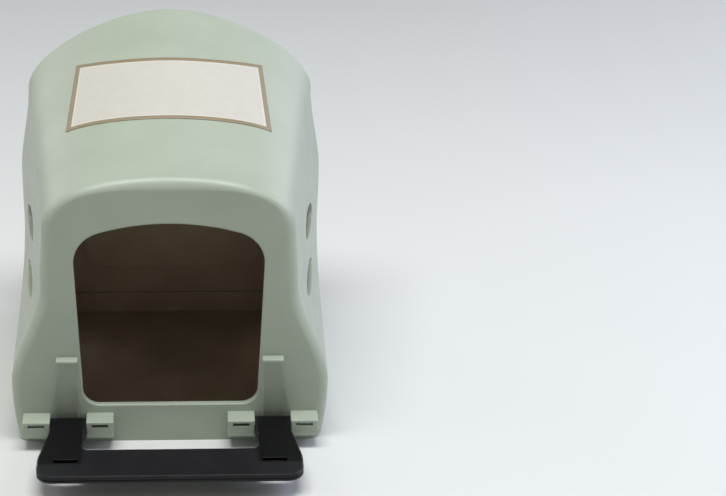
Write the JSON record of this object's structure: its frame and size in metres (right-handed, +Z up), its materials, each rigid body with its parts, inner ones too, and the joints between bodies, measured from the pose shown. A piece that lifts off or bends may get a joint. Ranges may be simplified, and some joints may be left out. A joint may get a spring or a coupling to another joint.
{
  "type": "chicken nesting box",
  "caption": "Moulded nesting box with a flared, arched hood, an arched doorway with a sill, oval side vents, a floor tray, a back panel and a perch that folds up to shut on catches.",
  "frame": {"origin": "on the floor, under the middle of the body between its front face and its rear", "axes": "+X to the viewer's right as seen from the front, +Y to the rear (the doorway looks along -Y), +Z up"},
  "size_m": [0.388, 0.475, 0.433],
  "materials": {
    "sage_plastic": "satin moulded sage green",
    "dark_plastic": "matt dark brown moulding",
    "black_plastic": "satin black moulding",
    "steel": "plain bright steel",
    "cream_label": "bare cream film with a tan edge"
  },
  "bodies": {
    "body": {"hood": "sage_plastic", "floor_tray": "dark_plastic", "back_panel": "dark_plastic", "hinge_pin_left": "steel", "hinge_pin_right": "steel", "back_screws": "steel", "roof_label": "cream_label"},
    "perch": {"perch": "black_plastic"}
  },
  "joints": [
    {"name": "perch_fold", "type": "hinge", "parent": "body", "child": "perch", "pos_m": [0, -0.1825, 0.0275], "axis": [-1, 0, 0], "range_deg": [0, 90]}
  ]
}
